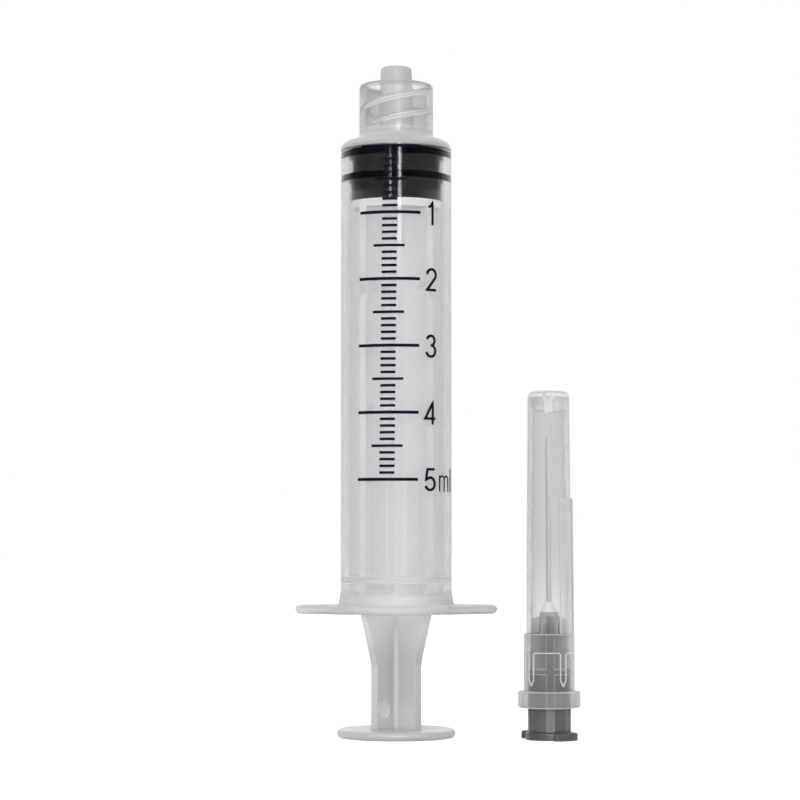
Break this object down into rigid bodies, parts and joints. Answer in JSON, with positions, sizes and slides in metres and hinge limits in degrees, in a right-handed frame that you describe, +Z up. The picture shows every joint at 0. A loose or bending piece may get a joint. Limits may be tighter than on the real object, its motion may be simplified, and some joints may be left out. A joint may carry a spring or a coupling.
{
  "type": "syringe with needle",
  "caption": "Graduated lock-tip syringe standing on its thumb rest with the plunger fully in, and a capped hypodermic needle standing beside it.",
  "frame": {"origin": "middle of the underside of the plunger's thumb rest, on which the syringe stands", "axes": "+Z up along the syringe towards its tip; the printed scale faces -Y; the capped needle stands on the +X side"},
  "size_m": [0.0362, 0.0158, 0.086],
  "materials": {
    "barrel_plastic": "translucent, slightly frosted",
    "ink": "printed line",
    "stopper_rubber": "smooth",
    "plunger_plastic": "translucent white, satin",
    "hub_plastic": "smoky, satin",
    "steel": "bright drawn tube",
    "adhesive": "set resin",
    "sheath_plastic": "clear to slightly frosted"
  },
  "bodies": {
    "barrel": {"barrel": "barrel_plastic", "graduation_marks": "ink"},
    "stopper": {"stopper": "stopper_rubber"},
    "plunger": {"plunger_rod": "plunger_plastic"},
    "needle": {"needle_hub": "hub_plastic", "cannula": "steel", "needle_adhesive": "adhesive"},
    "sheath": {"needle_sheath": "sheath_plastic"}
  },
  "joints": [
    {"name": "plunger_slide", "type": "slide", "parent": "barrel", "child": "stopper", "axis": [0, 0, -1], "range_m": [0, 0.048]},
    {"name": "plunger_turn", "type": "hinge", "parent": "stopper", "child": "plunger", "pos_m": [0, 0, 0.0684], "axis": [0, 0, 1], "continuous": true},
    {"name": "needle_lift", "type": "slide", "parent": "barrel", "child": "needle", "axis": [0, 0, 1], "range_m": [0, 0.06]},
    {"name": "sheath_pull", "type": "slide", "parent": "needle", "child": "sheath", "axis": [0, 0, 1], "range_m": [0, 0.045]}
  ]
}
